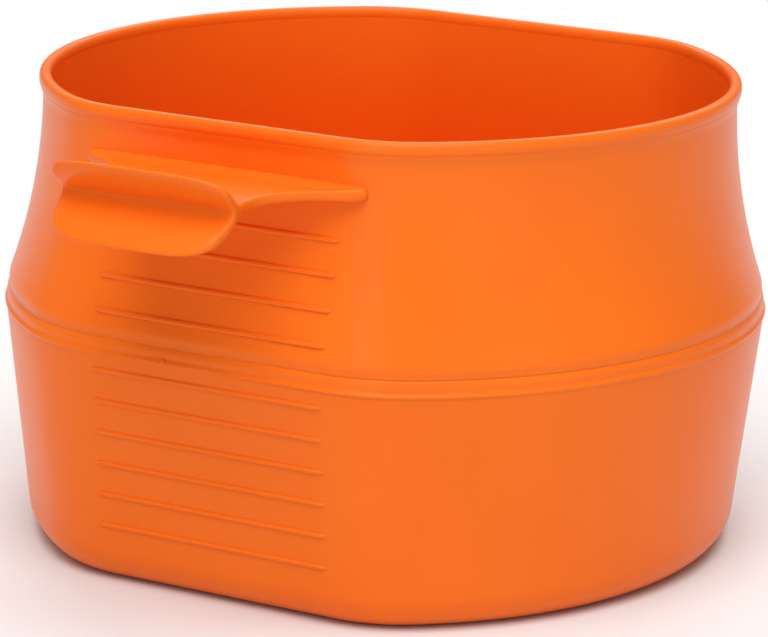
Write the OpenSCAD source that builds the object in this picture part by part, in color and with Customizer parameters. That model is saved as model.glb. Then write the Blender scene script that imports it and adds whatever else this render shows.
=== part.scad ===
// Collapsible travel cup: an oval cup with two flat sides, moulded in one flexible plastic.
// The rim is pushed straight down, and the upper half turns inside out about the fold ring and
// nests in the lower half, with the handle inside.
// Frame: origin at the middle of the cup's underside, +Z up to the rim, X along the cup's length,
// flat sides towards +Y and -Y, handle on the -Y side.

/* [Cup] */
// Width of the cup across its flat sides, at the fold ring
cup_w = 88; // [84:2:92]
// Height from the underside to the top of the rim
cup_h = 58; // [56:0.5:62]
// Length of the straight part of each flat side
flat_l = 30; // [26:2:34]
// Radius of the four corners in plan, at the fold ring
corner_r = 20; // [18:1:24]
// Wall thickness
wall_t = 1; // [0.9:0.1:1.2]

/* [Lower half] */
// Height of the fold ring's underside
ring_z = 29.2; // [28.2:0.1:30.2]
// How far the lower wall stands back from the fold ring at its top
lower_top_inset = 0.1; // [0.1:0.1:0.4]
// How far the lower wall stands back from the fold ring at its foot
lower_base_inset = 2.9; // [2:0.1:3.2]
// Outer radius between the lower wall and the underside
base_r = 4.5; // [3.5:0.5:6]
// Thickness of the floor
floor_t = 1.5; // [1.2:0.1:2]

/* [Fold ring] */
// Height of the fold ring
ring_h = 2.3; // [2:0.1:2.8]
// Thickness of the fold ring, from its outer face inwards
ring_t = 1.9; // [1.6:0.1:2.4]
// Rounding of the fold ring's outer edges
ring_edge_r = 0.5; // [0.3:0.1:0.6]

/* [Upper half] */
// How far the upper wall stands back from the fold ring's outer face at the rim
rim_inset = 4.6; // [4.4:0.1:5]
// Radius of the upper wall's hollow profile, seen from the side
hollow_r = 70; // [68:1:80]
// Height of the joint between the wall's lower, rolling skirt and the collar above it
collar_z = 44; // [43.5:0.1:44.5]

/* [Rim] */
// Height of the rim bead
bead_h = 1.9; // [1.6:0.1:2.2]
// Width of the rim bead
bead_w = 1.5; // [1.4:0.1:1.8]
// How far the rim bead stands out from the wall below it
bead_proud = 0.5; // [0.3:0.1:0.6]

/* [Handle] */
// Height of the middle of the handle's shelf
shelf_z = 51.7; // [50.5:0.1:52]
// Thickness of the shelf and of the two wings
handle_t = 1.5; // [1.2:0.1:1.8]
// Width of the shelf at the wall
shelf_root_w = 36.4; // [34:0.2:38]
// Width of the shelf at its waist
shelf_waist_w = 20; // [18:0.2:22]
// How far the waist is from the wall
waist_reach = 11; // [9:0.5:12]
// How far the shelf reaches out from the wall
shelf_reach = 15.1; // [13:0.1:16]
// Width of the two wings
wing_w = 23.2; // [21:0.2:25]
// Length of the upper wing, from the shelf's top face
upper_wing_l = 5.7; // [5:0.1:6.5]
// Length of the lower wing, from the shelf's underside
lower_wing_l = 6.9; // [5.5:0.1:7.5]
// How far each wing leans outwards, in degrees from the upright
wing_lean = 45; // [30:1:50]
// Corner radius of the wings
wing_corner_r = 3; // [2:0.1:3.4]

/* [Volume lines] */
// Length of each volume line
line_l = 31.2; // [26:0.2:31.2]
// Height of each volume line on the wall
line_h = 0.5; // [0.4:0.1:0.7]
// How far each volume line stands out from the wall
line_proud = 0.3; // [0.2:0.05:0.4]
// Height of the lowest volume line
first_line_z = 7.2; // [6.5:0.1:8]
// Spacing of the volume lines, about 25 ml each
line_step = 3.95; // [3.8:0.05:4]
// Number of volume lines on the lower wall
lower_lines = 6; // [4:1:6]
// Number of volume lines on the skirt
skirt_lines = 3; // [2:1:3]

/* [Hidden] */
$fn = 96;
big = 200;

// Plan of the fold ring's outer face: two straight sides, four corner arcs and two end arcs, all
// tangent. An end arc meets a corner arc on a line with the slope of a 3-4-5 triangle, so the
// ends' radius and the cup's length follow from the width, the straights and the corners.
half_w = cup_w / 2;
flat_x = flat_l / 2;
corner_y = half_w - corner_r;
end_r = corner_r + 1.25 * corner_y;
end_x = flat_x - 0.75 * corner_y;
half_l = end_x + end_r;

// Heights
ring_top = ring_z + ring_h;
bead_z = cup_h - bead_h;
last_lower_line = first_line_z + (lower_lines - 1) * line_step;
first_upper_line = last_lower_line + 1.8 * line_step;

// Outline and slope of the lower wall, as distances behind the fold ring's outer face
lower_slope = (lower_base_inset - lower_top_inset) / (ring_z - base_r);
foot_inset = lower_base_inset + base_r;

// The handle's root, on the outer face of the flat side at the shelf's height
handle_gap = 0.2;
shelf_drop = bead_z - shelf_z;
shelf_inset = rim_inset - hollow_r + sqrt(hollow_r * hollow_r - shelf_drop * shelf_drop);
root_y = half_w - shelf_inset + handle_gap;
tip_y = root_y + shelf_reach;
side_step = (shelf_root_w - shelf_waist_w) / 2;
side_r = (waist_reach * waist_reach + side_step * side_step) / (2 * side_step);

// One sector of a ring that follows the plan: the profile turned about the sector's centre, kept
// between two straight cuts. The profile is drawn with x = 0 on the fold ring's outer face,
// negative inwards, and y upwards.
module plan_arc(centre, radius, start, sweep, cut_a, cut_b) {
    intersection() {
        translate([centre[0], centre[1], 0])
            rotate_extrude(start = start, angle = sweep)
                translate([radius, 0])
                    children();
        translate([0, 0, -big / 2])
            linear_extrude(height = big)
                polygon([centre, centre + cut_a, centre + cut_a + cut_b, centre + cut_b]);
    }
}

// A ring whose cross-section is the profile, all round the plan
module plan_ring() {
    tangent_cut = [60, 80];
    upright_cut = [0, 80];
    for (side = [0, 1])
        mirror([side, 0, 0])
            plan_arc([end_x, 0], end_r, -60, 120, tangent_cut, [60, -80])
                children();
    for (side_x = [0, 1], side_y = [0, 1])
        mirror([side_x, 0, 0])
            mirror([0, side_y, 0])
                plan_arc([flat_x, corner_y], corner_r, 45, 50, tangent_cut, upright_cut)
                    children();
    for (side = [0, 1])
        mirror([0, side, 0])
            flat_side_bar(flat_l)
                children();
}

// The profile drawn along the straight side at -Y, with a given length about its middle
module flat_side_bar(length) {
    translate([-length / 2, -half_w, 0])
        rotate([90, 0, 90])
            linear_extrude(height = length)
                mirror([1, 0])
                    children();
}

// The plan's outline, drawn in by an inset: the corners, the two flat sides and the two ends. The
// ends are cut off level with the points where they meet the corners.
module plan_outline(inset) {
    hub = corner_r - inset;
    for (x = [-flat_x, flat_x], y = [-corner_y, corner_y])
        translate([x, y])
            circle(r = hub);
    square([flat_l, cup_w - 2 * inset], center = true);
    intersection() {
        translate([end_x, 0])
            circle(r = end_r - inset);
        translate([-end_x, 0])
            circle(r = end_r - inset);
        square([2 * half_l, 2 * corner_y + 1.6 * hub], center = true);
    }
}

// Profile of the quarter round between the underside and the lower wall
module base_profile(thickness) {
    translate([-foot_inset, base_r])
        intersection() {
            difference() {
                circle(r = base_r);
                circle(r = base_r - thickness);
            }
            translate([0, -base_r])
                square([base_r, base_r]);
        }
}

// Profile of the lower wall's straight taper
module taper_profile(thickness) {
    polygon([
        [-lower_top_inset, ring_z],
        [-lower_base_inset, base_r],
        [-lower_base_inset - thickness, base_r],
        [-lower_top_inset - thickness, ring_z]
    ]);
}

// Profile of the upper wall's skin between two heights: hollow towards the outside and upright at
// the rim. The skin lies from one depth to another behind the outer face.
module upper_profile(z_from, z_to, depth_from, depth_to) {
    intersection() {
        translate([hollow_r - rim_inset, bead_z])
            difference() {
                circle(r = hollow_r + depth_to, $fn = 256);
                circle(r = hollow_r + depth_from, $fn = 256);
            }
        translate([-half_w / 2, z_from])
            square([half_w / 2, z_to - z_from]);
    }
}

// Rectangle with its right-hand corners rounded, from the origin to +X and +Y
module round_edged(width, height, radius) {
    square([width - radius, height]);
    translate([0, radius])
        square([width, height - 2 * radius]);
    for (y = [radius, height - radius])
        translate([width - radius, y])
            circle(r = radius);
}

// Flat floor panel inside the base rounding
module cup_floor() {
    color([0.93, 0.40, 0.10])
        linear_extrude(height = floor_t)
            plan_outline(foot_inset);
}

// Quarter round from the underside up into the lower wall
module base_rounding() {
    color([0.95, 0.43, 0.12])
        plan_ring()
            base_profile(wall_t);
}

// Tapering lower wall
module lower_wall() {
    color([0.98, 0.47, 0.15])
        plan_ring()
            taper_profile(wall_t);
}

// Stiff ring that the upper half folds about
module fold_ring() {
    color([0.96, 0.43, 0.12])
        plan_ring()
            translate([-ring_t, ring_z])
                round_edged(ring_t, ring_h, ring_edge_r);
}

// Raised volume lines on the lower half, on the handle's side
module lower_volume_lines() {
    color([0.90, 0.38, 0.08])
        for (i = [0 : lower_lines - 1])
            flat_side_bar(line_l)
                lower_line_profile(first_line_z + i * line_step);
}

// Section of one line on the straight taper
module lower_line_profile(z) {
    inset_low = lower_top_inset + (ring_z - z) * lower_slope;
    inset_high = inset_low - line_h * lower_slope;
    polygon([
        [-inset_low, z],
        [-inset_low + line_proud, z],
        [-inset_high + line_proud, z + line_h],
        [-inset_high, z + line_h]
    ]);
}

// Lower part of the upper wall, which rolls over the fold ring
module upper_skirt() {
    color([0.98, 0.49, 0.17])
        plan_ring()
            upper_profile(ring_top, collar_z, 0, wall_t);
}

// Upper part of the upper wall, which carries the handle
module upper_collar() {
    color([0.99, 0.52, 0.20])
        plan_ring()
            upper_profile(collar_z, bead_z, 0, wall_t);
}

// One raised line on the hollow upper wall
module upper_line(z) {
    flat_side_bar(line_l)
        upper_profile(z, z + line_h, -line_proud, 0);
}

// Volume lines on the skirt
module skirt_volume_lines() {
    color([0.90, 0.38, 0.08])
        for (i = [0 : skirt_lines - 1])
            upper_line(first_upper_line + i * line_step);
}

// Highest volume line, on the collar under the handle's shelf
module collar_volume_line() {
    color([0.90, 0.38, 0.08])
        upper_line(first_upper_line + skirt_lines * line_step);
}

// Rounded bead round the mouth
module rim_bead() {
    bead_outer = bead_proud - rim_inset;
    edge_r = bead_w / 2 - 0.15;
    color([0.99, 0.55, 0.24])
        plan_ring()
            translate([bead_outer - bead_w / 2, bead_z]) {
                round_edged(bead_w / 2, bead_h, edge_r);
                mirror([1, 0])
                    round_edged(bead_w / 2, bead_h, edge_r);
            }
}

// Level shelf of the handle, wide at the wall and drawn in to its waist by an arc on each side
module handle_shelf() {
    color([0.97, 0.46, 0.14])
        translate([0, 0, shelf_z - handle_t / 2])
            linear_extrude(height = handle_t)
                difference() {
                    translate([-shelf_root_w / 2, -tip_y])
                        square([shelf_root_w, shelf_reach]);
                    for (side = [-1, 1])
                        translate([side * (shelf_waist_w / 2 + side_r), -root_y - waist_reach])
                            circle(r = side_r, $fn = 128);
                }
}

// Outline of a wing, with its fold on the shelf's corner at y = 0 and its rounded edge above. It
// runs on below the fold, to be cut off there.
module wing_outline(length) {
    corner_x = wing_w / 2 - wing_corner_r;
    translate([-wing_w / 2, -handle_t])
        square([wing_w, length - wing_corner_r + handle_t]);
    translate([-corner_x, 0])
        square([2 * corner_x, length]);
    for (side = [-1, 1])
        translate([side * corner_x, length - wing_corner_r])
            circle(r = wing_corner_r);
}

// One wing of the handle: a plate that leans outwards from the top corner of the shelf's end, cut
// off level with the shelf's middle and flush with its end
module wing(length) {
    intersection() {
        translate([0, -tip_y, shelf_z + handle_t / 2])
            rotate([90 + wing_lean, 0, 0])
                linear_extrude(height = handle_t)
                    wing_outline(length);
        translate([-big / 2, -tip_y - big, shelf_z])
            cube(big);
    }
}

// Wing above the shelf's middle
module handle_upper_wing() {
    color([0.95, 0.43, 0.12])
        wing(upper_wing_l);
}

// Wing below the shelf's middle
module handle_lower_wing() {
    color([0.99, 0.50, 0.18])
        translate([0, 0, 2 * shelf_z])
            mirror([0, 0, 1])
                wing(lower_wing_l);
}

cup_floor();
base_rounding();
lower_wall();
fold_ring();
lower_volume_lines();
upper_skirt();
skirt_volume_lines();
upper_collar();
collar_volume_line();
rim_bead();
handle_shelf();
handle_upper_wing();
handle_lower_wing();
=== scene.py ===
import math

import bmesh
import bpy
from mathutils import Matrix, Vector


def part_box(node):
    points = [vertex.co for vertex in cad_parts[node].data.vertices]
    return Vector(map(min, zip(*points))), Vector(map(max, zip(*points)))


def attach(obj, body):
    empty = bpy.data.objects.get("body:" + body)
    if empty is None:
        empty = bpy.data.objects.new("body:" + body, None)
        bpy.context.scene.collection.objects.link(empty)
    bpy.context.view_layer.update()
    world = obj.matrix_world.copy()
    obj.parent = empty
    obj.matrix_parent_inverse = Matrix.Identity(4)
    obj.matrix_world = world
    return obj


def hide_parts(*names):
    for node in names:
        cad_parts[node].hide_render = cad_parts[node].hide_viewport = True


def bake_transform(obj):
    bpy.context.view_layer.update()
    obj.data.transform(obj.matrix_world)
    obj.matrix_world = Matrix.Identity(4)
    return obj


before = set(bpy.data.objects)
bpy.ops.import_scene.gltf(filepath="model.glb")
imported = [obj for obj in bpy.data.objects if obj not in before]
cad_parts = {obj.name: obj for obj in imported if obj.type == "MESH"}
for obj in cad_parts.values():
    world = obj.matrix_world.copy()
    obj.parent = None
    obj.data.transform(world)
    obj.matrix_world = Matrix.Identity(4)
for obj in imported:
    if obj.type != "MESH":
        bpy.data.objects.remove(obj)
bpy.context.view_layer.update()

MM = 0.001

# ---------------------------------------------------------------- driving sizes, in millimetres
# Plan of the fold ring's outer face, as in the CAD: flats, corner arcs and end arcs, all tangent.
FLAT_LENGTH = 30.0
CORNER_RADIUS = 20.0
TANGENT_X, TANGENT_Y = 0.6, 0.8     # an end arc meets a corner arc along a 3-4-5 triangle

WALL = 1.0                          # thickness of both walls
HOLLOW_RADIUS = 70.0                # hollow side profile of the upper wall
BASE_RADIUS = 4.5                   # quarter round under the lower wall
BASE_INSET = 2.9                    # foot of the lower wall, behind the fold ring
TOP_INSET = 0.1                     # top of the lower wall, behind the fold ring
BEAD_WIDTH = 1.55                   # across the rim bead, from outside to inside
BEAD_PROUD = 0.5                    # how far the rim bead stands out from the wall below it
LINE_LENGTH = 31.2                  # volume lines, on the -Y flat
CAD_LINE_HEIGHT = 0.5               # height of one volume line in the CAD


# ---------------------------------------------------------------- sizes read from the frame
def in_mm(box):
    """A box's lowest and highest corners in millimetres."""
    return [corner / MM for corner in box]


ring_low, ring_high = in_mm(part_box("fold_ring"))
bead_low, bead_high = in_mm(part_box("rim_bead"))
floor_top = in_mm(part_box("cup_floor"))[1].z
half_width = ring_high.y
ring_z, ring_top = ring_low.z, ring_high.z
bead_z, cup_height = bead_low.z, bead_high.z
bead_middle_z = (bead_z + cup_height) / 2
bead_inset = half_width - bead_high.y
rim_inset = bead_inset + BEAD_PROUD
foot_inset = BASE_INSET + BASE_RADIUS


# ---------------------------------------------------------------- plan and lofting
def arc_points(centre, radius, start, end, count):
    """Points of an arc with their outward normals, leaving out the last one."""
    points = []
    for i in range(count):
        angle = math.radians(start + (end - start) * i / count)
        normal = Vector((math.cos(angle), math.sin(angle)))
        points.append((Vector(centre) + normal * radius, normal))
    return points


def plan_points():
    """The fold ring's outline anticlockwise from one end of the +Y flat, as (point, normal)."""
    corner_x = FLAT_LENGTH / 2
    corner_y = half_width - CORNER_RADIUS
    end_x = corner_x - corner_y * TANGENT_X / TANGENT_Y
    end_radius = CORNER_RADIUS + corner_y / TANGENT_Y
    tangent = math.degrees(math.atan2(TANGENT_Y, TANGENT_X))
    flat_steps, corner_steps, end_steps = 24, 20, 72
    points = []
    for side in (1, -1):
        turn = 0 if side == 1 else 180
        for i in range(flat_steps):
            x = corner_x - FLAT_LENGTH * i / flat_steps
            points.append((Vector((side * x, side * half_width)), Vector((0, side))))
        near = (-side * corner_x, side * corner_y)
        far = (-side * corner_x, -side * corner_y)
        end = (-side * end_x, 0)
        points += arc_points(near, CORNER_RADIUS, 90 + turn, 180 - tangent + turn, corner_steps)
        points += arc_points(end, end_radius, 180 - tangent + turn, 180 + tangent + turn, end_steps)
        points += arc_points(far, CORNER_RADIUS, 180 + tangent + turn, 270 + turn, corner_steps)
    return points


PLAN = plan_points()


def plan_ring(inset, z, scale=1.0):
    """One ring of the loft: the plan drawn in by an inset, at a height, scaled about its middle."""
    ring = []
    for point, normal in PLAN:
        flat = (point - normal * inset) * scale
        ring.append(Vector((flat.x, flat.y, z)) * MM)
    return ring


def mesh_object(name, build):
    """A smooth-shaded mesh object whose faces are made by build(bmesh)."""
    mesh = bpy.data.meshes.new(name)
    bm = bmesh.new()
    build(bm)
    bmesh.ops.recalc_face_normals(bm, faces=bm.faces)
    bm.to_mesh(mesh)
    bm.free()
    mesh.polygons.foreach_set("use_smooth", [True] * len(mesh.polygons))
    obj = bpy.data.objects.new(name, mesh)
    bpy.context.scene.collection.objects.link(obj)
    return obj


def bridge(bm, near, far):
    """Join two equal closed rows of vertices with four-sided faces."""
    for i in range(len(near)):
        j = (i + 1) % len(near)
        bm.faces.new((near[i], near[j], far[j], far[i]))


def loft(bm, rings, closed_section=False, cap_ends=False):
    """Skin a list of equal rings. The section is closed by joining the last ring to the first, or
    the two end rings are filled."""
    rows = [[bm.verts.new(point) for point in ring] for ring in rings]
    for low, high in zip(rows, rows[1:]):
        bridge(bm, low, high)
    if closed_section:
        bridge(bm, rows[-1], rows[0])
    if cap_ends:
        for row in (rows[0], rows[-1]):
            middle = bm.verts.new(sum((v.co for v in row), Vector()) / len(row))
            for i in range(len(row)):
                bm.faces.new((row[i], row[(i + 1) % len(row)], middle))


def smooth_profile(points, step):
    """A Catmull-Rom curve through (inset, z) points, sampled about every step millimetres."""
    curve = []
    last = len(points) - 1
    for i in range(last):
        p0, p1 = Vector(points[max(i - 1, 0)]), Vector(points[i])
        p2, p3 = Vector(points[i + 1]), Vector(points[min(i + 2, last)])
        count = max(1, math.ceil((p2 - p1).length / step))
        for k in range(count):
            t = k / count
            curve.append(0.5 * (
                2 * p1 + (p2 - p0) * t
                + (2 * p0 - 5 * p1 + 4 * p2 - p3) * t * t
                + (3 * p1 - p0 - 3 * p2 + p3) * t * t * t))
    curve.append(Vector(points[last]))
    return curve


# ---------------------------------------------------------------- lower half
def lower_inset(z):
    """Outer face of the lower wall's taper, as a distance behind the fold ring."""
    share = (ring_z - z) / (ring_z - BASE_RADIUS)
    return TOP_INSET + (BASE_INSET - TOP_INSET) * share


def foot_arc(radius, low, start, end, steps):
    """The foot's rounding as (inset, z) points between two angles, with its lowest point at low."""
    arc = []
    for i in range(steps + 1):
        angle = math.radians(start + (end - start) * i / steps)
        arc.append((foot_inset - radius * math.cos(angle), low + radius * (1 + math.sin(angle))))
    return arc


def base_profile():
    """Outside and inside of the lower half in one run, from the foot, over the ring, to the floor."""
    outer_arc = foot_arc(BASE_RADIUS, 0.0, -90, -6, 8)
    taper = [(lower_inset(z), z) for z in (9.0, 14.0, 19.0, 24.0, 28.0)]
    ring_face = [
        (0.17, ring_z - 0.3), (0.15, ring_z - 0.08), (0.02, ring_z - 0.02), (-0.06, ring_z + 0.16),
        (0.02, ring_z + 0.36), (0.2, ring_z + 0.54), (0.24, ring_z + 0.8), (0.18, ring_z + 1.15),
        (0.25, ring_z + 1.55), (0.44, ring_z + 1.95), (0.58, ring_top - 0.12), (0.68, ring_top - 0.08),
    ]
    groove = [
        (0.84, ring_top - 0.3), (1.1, ring_top - 0.42), (1.5, ring_top - 0.42), (1.66, ring_top - 0.2),
        (1.8, ring_top - 0.16), (1.9, ring_top - 0.4), (1.9, ring_z + 1.0), (1.75, ring_z + 0.1),
        (1.4, ring_z - 0.6),
    ]
    inside = [(lower_inset(z) + WALL, z) for z in (27.0, 22.0, 16.0, 10.0, 6.5)]
    inner_arc = foot_arc(BASE_RADIUS - WALL, floor_top, -6, -90, 6)
    sample_step = 0.6
    return smooth_profile(outer_arc + taper + ring_face + groove + inside + inner_arc, sample_step)


def build_base(bm):
    """Lower half: floor, quarter round, taper, fold ring with its groove, and the inside. A small
    nub from the moulding stands on the ring's lip."""
    recess_depth = 0.4
    recess_inset = foot_inset + 3.0
    underside = [plan_ring(recess_inset, recess_depth, scale) for scale in (0.1, 0.5, 0.9, 1.0)]
    recess_edge = [(0.15, recess_depth - 0.05), (0.5, 0.03), (0.7, 0.0)]
    underside += [plan_ring(recess_inset - outward, z) for outward, z in recess_edge]
    body = [plan_ring(inset, max(z, 0.0)) for inset, z in base_profile()]
    inner_floor = [plan_ring(foot_inset, floor_top, scale) for scale in (0.97, 0.8, 0.5, 0.1)]
    loft(bm, underside + body + inner_floor, cap_ends=True)

    nub_radius = 0.38
    nub = Vector((-5.5, 0.1 - half_width, ring_z + 0.35)) * MM
    bmesh.ops.create_uvsphere(
        bm, u_segments=16, v_segments=10, radius=nub_radius * MM, matrix=Matrix.Translation(nub))


# ---------------------------------------------------------------- upper half
def upper_inset(z):
    """Outer face of the hollow upper wall, as a distance behind the fold ring."""
    drop = bead_z - z
    return rim_inset - HOLLOW_RADIUS + math.sqrt(HOLLOW_RADIUS ** 2 - drop ** 2)


def wall_shaping(z):
    """Added to the upper wall's inset: its foot rounds in to the groove, its top flares to the bead."""
    foot_height, foot_depth = 1.3, 0.45
    flare_height, flare_width = 1.3, 0.3
    foot = min(1.0, max(0.0, 1 - (z - ring_top) / foot_height))
    flare = min(1.0, max(0.0, 1 - (bead_z - z) / flare_height))
    return foot_depth * foot ** 2 - flare_width * flare ** 2


def build_upper_wall(bm):
    """Upper half: a thin wall, from inside the ring's groove up into the rim bead."""
    foot = ring_top - 0.35
    top = bead_middle_z - 0.1
    least_inset = 0.6       # keeps the wall thick where its foot rounds in
    rows = 72
    heights = [foot + (top - foot) * i / rows for i in range(rows + 1)]
    outside = [(upper_inset(z) + wall_shaping(z), z) for z in heights]
    inside = [(max(upper_inset(z), least_inset) + WALL, z) for z in reversed(heights)]
    rings = [plan_ring(inset, z) for inset, z in outside + inside]
    loft(bm, rings, closed_section=True)


def build_rim(bm):
    """Narrow rounded bead round the mouth, with a slightly squared section."""
    middle_inset = bead_inset + BEAD_WIDTH / 2
    half_height = (cup_height - bead_z) / 2
    section_steps = 28
    squareness = 2.4        # 2 is an ellipse
    rings = []
    for i in range(section_steps):
        angle = 2 * math.pi * i / section_steps
        across = math.copysign(abs(math.cos(angle)) ** (2 / squareness), math.cos(angle))
        up = math.copysign(abs(math.sin(angle)) ** (2 / squareness), math.sin(angle))
        inset = middle_inset - across * BEAD_WIDTH / 2
        rings.append(plan_ring(inset, bead_middle_z + up * half_height))
    loft(bm, rings, closed_section=True)


# ---------------------------------------------------------------- volume lines
def line_heights(node, count):
    """Middles of evenly spaced volume lines, from the lowest to the highest of the CAD node's."""
    low, high = in_mm(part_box(node))
    first = low.z + CAD_LINE_HEIGHT / 2
    last = high.z - CAD_LINE_HEIGHT / 2
    return [first + (last - first) * i / max(1, count - 1) for i in range(count)]


def build_lines(bm, heights, inset_at):
    """Raised, half-round volume lines on the -Y flat, with rounded ends."""
    thickness, proud = 0.66, 0.31
    end_round, least_swell = 0.8, 0.08
    length_steps, section_steps = 40, 8
    for z in heights:
        columns = []
        for i in range(length_steps + 1):
            u = -1 + 2 * i / length_steps
            x = LINE_LENGTH / 2 * math.sin(u * math.pi / 2)
            end_gap = min(end_round, LINE_LENGTH / 2 - abs(x))
            swell = max(least_swell, math.sqrt(max(0.0, 1 - (1 - end_gap / end_round) ** 2)))
            column = []
            for k in range(section_steps):
                angle = 2 * math.pi * k / section_steps
                height = z + thickness / 2 * swell * math.sin(angle)
                depth = inset_at(height) - proud * swell * math.cos(angle)
                column.append(bm.verts.new(Vector((x, depth - half_width, height)) * MM))
            columns.append(column)
        for left, right in zip(columns, columns[1:]):
            bridge(bm, left, right)
        bm.faces.new(columns[0])
        bm.faces.new(columns[-1])


# ---------------------------------------------------------------- handle
def handle_section(tip, u):
    """Corners of the handle's section at u of its half width, as (reach from the wall, height, half
    width). They run round from the root's top to its underside: shelf, upper wing, ledge, lower
    wing, shelf. The shelf reaches out to tip. The root thins out a little towards its ends, and the
    wings have rounded corners."""
    half = 0.62
    root = 1 - 0.1 * u ** 4
    wing = 1 - 0.3 * u ** 8
    outline = [(2.3, 14.9), (4.8, 12.3), (7.8, 10.5), (11.0, 9.8), (tip - 0.9, 10.7)]
    shelf_top = [(reach, half, width) for reach, width in outline]
    shelf_bottom = [(reach, -half, width) for reach, width in reversed(outline)]
    root_top = [(-0.9, 1.2 * root, 18.8), (0.0, root, 18.8), (1.0, 0.75 * root, 18.0)]
    root_bottom = [(1.0, -0.75 * root, 18.0), (0.0, -0.9 * root, 18.8), (-0.9, -root, 18.8)]
    return {
        "top": root_top + shelf_top,
        "upper_inner": [
            (tip + 0.4, 1.2, 11.3), (tip + 2.5, 2.8, 11.6), (tip + 4.5 * wing, 4.7 * wing, 11.5)],
        "upper_outer": [(tip + 5.1 * wing, 4.3 * wing, 11.5), (tip + 3.3, 1.85, 11.7)],
        "ledge": [(tip + 1.4, 0.5, 11.6), (tip + 1.6, 0.0, 11.6), (tip + 1.7, -0.5, 11.6)],
        "lower_outer": [(tip + 3.9, -1.75, 11.1), (tip + 6.7 * wing, -4.1 * wing, 10.6)],
        "lower_inner": [
            (tip + 6.1 * wing, -4.9 * wing, 10.6), (tip + 3.1, -2.9, 11.1), (tip + 0.6, -1.4, 11.4)],
        "bottom": shelf_bottom + root_bottom,
    }


def build_handle(bm):
    """Subdivision cage of the finger handle: a waisted shelf that ends in two leaning wings."""
    shelf_low, shelf_high = in_mm(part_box("handle_shelf"))
    shelf_z = (shelf_low.z + shelf_high.z) / 2
    tip = shelf_high.y - shelf_low.y
    columns = []
    for u in (-1.0, -0.93, -0.7, -0.35, 0.0, 0.35, 0.7, 0.93, 1.0):
        column = {}
        for name, corners in handle_section(tip, u).items():
            column[name] = [
                bm.verts.new(Vector((u * width, shelf_high.y - reach, shelf_z + height)) * MM)
                for reach, height, width in corners]
        columns.append(column)
    rows = [[vert for part in column.values() for vert in part] for column in columns]
    for left, right in zip(rows, rows[1:]):
        bridge(bm, left, right)
    cap_handle(bm, columns[0])
    cap_handle(bm, columns[-1])


def cap_handle(bm, parts):
    """Fill one side of the handle's section: the shelf, the two wings and their junction."""
    top, bottom = parts["top"], parts["bottom"][::-1]
    for k in range(len(top) - 1):
        bm.faces.new((top[k], top[k + 1], bottom[k + 1], bottom[k]))
    ledge = parts["ledge"]
    upper_root, upper_middle, upper_edge = parts["upper_inner"]
    outer_edge, outer_middle = parts["upper_outer"]
    bm.faces.new((upper_edge, upper_middle, outer_middle, outer_edge))
    bm.faces.new((upper_middle, upper_root, ledge[0], outer_middle))
    low_middle, low_edge = parts["lower_outer"]
    inner_edge, inner_middle, lower_root = parts["lower_inner"]
    bm.faces.new((inner_edge, inner_middle, low_middle, low_edge))
    bm.faces.new((inner_middle, lower_root, ledge[2], low_middle))
    bm.faces.new((top[-1], upper_root, *ledge, lower_root, bottom[-1]))


# ---------------------------------------------------------------- materials
def cup_plastic():
    """Orange satin plastic with a fine moulded grain and faint flow marks."""
    material = bpy.data.materials.new("cup_plastic")
    material.use_nodes = True
    nodes, links = material.node_tree.nodes, material.node_tree.links
    shader = nodes["Principled BSDF"]
    place = nodes.new("ShaderNodeTexCoord")

    def noise(scale, detail):
        """The value of a noise texture that is fixed to the cup."""
        texture = nodes.new("ShaderNodeTexNoise")
        texture.inputs["Scale"].default_value = scale
        texture.inputs["Detail"].default_value = detail
        links.new(place.outputs["Object"], texture.inputs["Vector"])
        return texture.outputs["Fac"]

    flow_marks = noise(45.0, 3.0)
    tint = nodes.new("ShaderNodeValToRGB")
    darker, lighter = tint.color_ramp.elements
    darker.position = 0.3
    darker.color = (0.90, 0.156, 0.009, 1)
    lighter.position = 0.7
    lighter.color = (0.93, 0.170, 0.012, 1)
    links.new(flow_marks, tint.inputs["Fac"])
    links.new(tint.outputs["Color"], shader.inputs["Base Color"])

    sheen = nodes.new("ShaderNodeMapRange")
    sheen.inputs["To Min"].default_value = 0.27
    sheen.inputs["To Max"].default_value = 0.33
    links.new(flow_marks, sheen.inputs["Value"])
    links.new(sheen.outputs["Result"], shader.inputs["Roughness"])

    bump = nodes.new("ShaderNodeBump")
    bump.inputs["Strength"].default_value = 0.08
    bump.inputs["Distance"].default_value = 0.0001
    links.new(noise(2600.0, 2.0), bump.inputs["Height"])
    links.new(bump.outputs["Normal"], shader.inputs["Normal"])

    shader.inputs["Specular IOR Level"].default_value = 0.16
    shader.inputs["IOR"].default_value = 1.49
    return material


def pale_floor():
    """Plain pale surface under the cup."""
    material = bpy.data.materials.new("pale_floor")
    material.use_nodes = True
    shader = material.node_tree.nodes["Principled BSDF"]
    shader.inputs["Base Color"].default_value = (0.78, 0.78, 0.78, 1)
    shader.inputs["Roughness"].default_value = 0.9
    return material


# ---------------------------------------------------------------- pieces
PLASTIC = cup_plastic()


def finish_piece(obj, *nodes):
    """Give a piece its material and slot, and hide the CAD nodes it stands for."""
    obj.data.materials.append(PLASTIC)
    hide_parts(*nodes)


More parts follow.
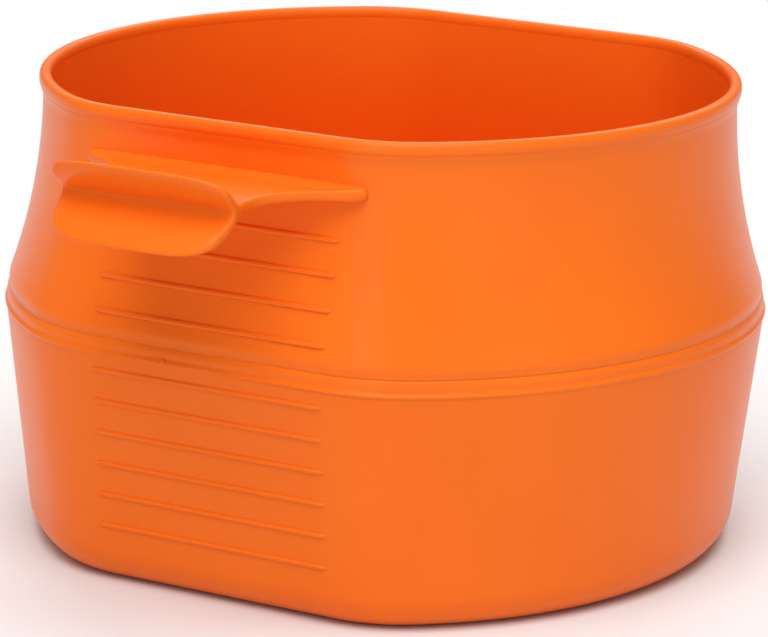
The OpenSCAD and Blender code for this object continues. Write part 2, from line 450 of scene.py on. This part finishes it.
def add_pieces():
    """All the cup's visible pieces; all but the upper wall and its volume lines go on the body of the
    CAD nodes they stand for.
    """
    base = mesh_object("base_shell", build_base)
    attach(base, "base")
    finish_piece(base, "cup_floor", "base_rounding", "lower_wall", "fold_ring")

    lower_heights = line_heights("lower_volume_lines", 6)
    lower_lines = mesh_object(
        "lower_lines", lambda bm: build_lines(bm, lower_heights, lower_inset))
    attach(lower_lines, "base")
    finish_piece(lower_lines, "lower_volume_lines")

    wall = mesh_object("upper_wall", build_upper_wall)
    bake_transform(wall)
    finish_piece(wall, "upper_skirt", "upper_collar")

    upper_heights = line_heights("skirt_volume_lines", 3) + line_heights("collar_volume_line", 1)
    upper_lines = mesh_object(
        "upper_lines", lambda bm: build_lines(bm, upper_heights, upper_inset))
    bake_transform(upper_lines)
    finish_piece(upper_lines, "skirt_volume_lines", "collar_volume_line")

    rim = mesh_object("rim_lip", build_rim)
    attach(rim, "rim")
    finish_piece(rim, "rim_bead")

    handle = mesh_object("finger_handle", build_handle)
    smooth = handle.modifiers.new("rounding", "SUBSURF")
    smooth.levels = 3
    smooth.render_levels = 3
    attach(handle, "handle")
    finish_piece(handle, "handle_shelf", "handle_upper_wing", "handle_lower_wing")


# ---------------------------------------------------------------- stage, in metres and degrees
def direction(azimuth, elevation):
    """Unit vector away from the cup. Azimuth runs from the handle's side towards +X."""
    turn, lift = math.radians(azimuth), math.radians(elevation)
    return Vector((
        math.sin(turn) * math.cos(lift), -math.cos(turn) * math.cos(lift), math.sin(lift)))


def add_floor():
    """A wide floor at the height the cup stands on."""
    bpy.ops.mesh.primitive_plane_add(size=6, location=(0, 0, 0))
    floor = bpy.context.object
    floor.name = "studio_floor"
    floor.data.materials.append(pale_floor())


def add_world():
    """Even white surroundings."""
    world = bpy.data.worlds.new("studio")
    world.use_nodes = True
    background = world.node_tree.nodes["Background"]
    background.inputs["Color"].default_value = (1, 1, 1, 1)
    background.inputs["Strength"].default_value = 0.2
    bpy.context.scene.world = world


def add_camera():
    """A long lens at the viewing angle, with a slight roll."""
    away = direction(28.58, 14.353)
    roll = math.radians(1.399)
    distance = 0.4829
    target = Vector((0, 0, 0.029))
    data = bpy.data.cameras.new("camera")
    data.sensor_width = 36
    data.lens = 180.57
    data.shift_x = -0.0033
    data.shift_y = -0.0298
    data.clip_start = 0.01
    camera = bpy.data.objects.new("camera", data)
    place = Matrix.Translation(target + away * distance)
    facing = (-away).to_track_quat("-Z", "Y").to_matrix().to_4x4()
    camera.matrix_world = place @ facing @ Matrix.Rotation(roll, 4, "Z")
    bpy.context.scene.collection.objects.link(camera)
    bpy.context.scene.camera = camera


def area_light(name, azimuth, elevation, distance, size, power):
    """A soft box that points at the cup."""
    away = direction(azimuth, elevation)
    target = Vector((0, 0, 0.03))
    data = bpy.data.lights.new(name, "AREA")
    data.shape = "RECTANGLE"
    data.size, data.size_y = size
    data.energy = power
    light = bpy.data.objects.new(name, data)
    light.location = target + away * distance
    light.rotation_euler = away.to_track_quat("Z", "Y").to_euler()
    bpy.context.scene.collection.objects.link(light)


def add_lights():
    """Large soft boxes: one overhead, upright ones to the front, right and left, and one behind."""
    area_light("overhead", 26, 66, 2.0, (1.8, 1.8), 46)
    area_light("front_window", 5, 14, 1.0, (0.4, 0.6), 1.0)
    area_light("right_window", 68, 14, 0.9, (0.5, 0.55), 0.45)
    area_light("left_window", -65, 20, 1.0, (0.5, 0.6), 0.1)
    area_light("back_window", 205, 42, 1.4, (1.3, 0.9), 9)


add_pieces()
add_floor()
add_world()
add_camera()
add_lights()
bpy.context.scene.view_settings.view_transform = "Standard"
